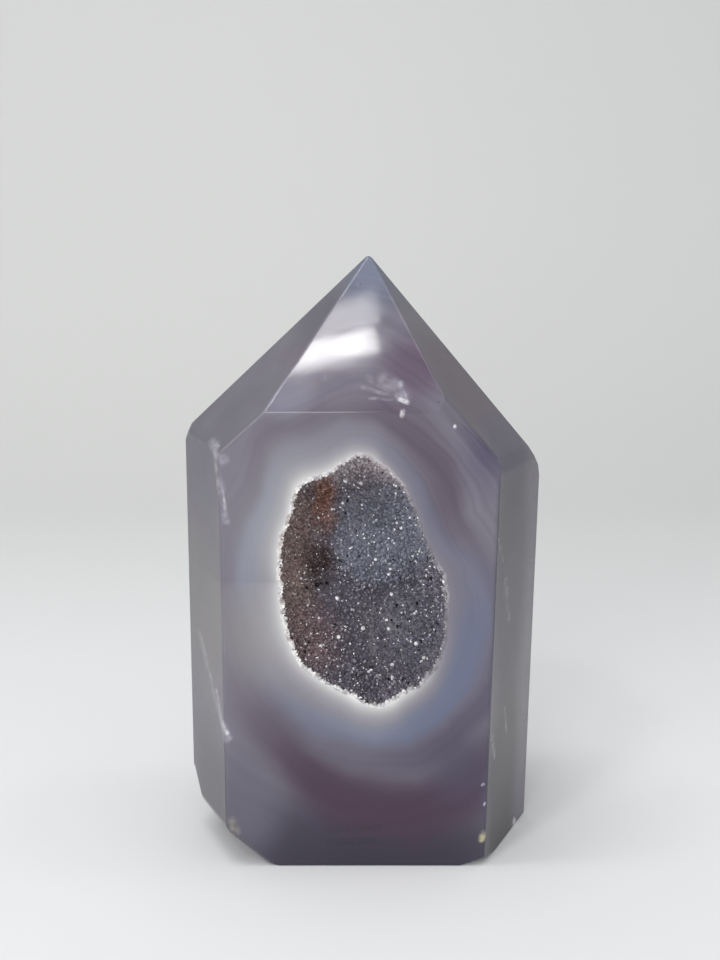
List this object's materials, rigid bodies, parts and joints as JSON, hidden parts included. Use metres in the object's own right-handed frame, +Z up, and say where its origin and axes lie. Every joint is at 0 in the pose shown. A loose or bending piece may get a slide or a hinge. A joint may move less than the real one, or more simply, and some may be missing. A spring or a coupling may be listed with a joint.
{
  "type": "druzy agate tower",
  "caption": "Polished six-sided agate point with a flat base and an open crystal-lined hollow in its front face.",
  "frame": {"origin": "centre of the bounding box at the flat base", "axes": "+Z up to the tip, -Y out of the front face that has the hollow, +X to the right seen from the front"},
  "size_m": [0.0478, 0.031, 0.0794],
  "materials": {
    "polished_agate": "polished, banded grey-lavender agate with mauve patches",
    "quartz_druse": "sparkling small quartz points, grey-blue and brown"
  },
  "bodies": {
    "root": {"agate_tower": "polished_agate", "druzy_crust": "quartz_druse"}
  },
  "joints": []
}
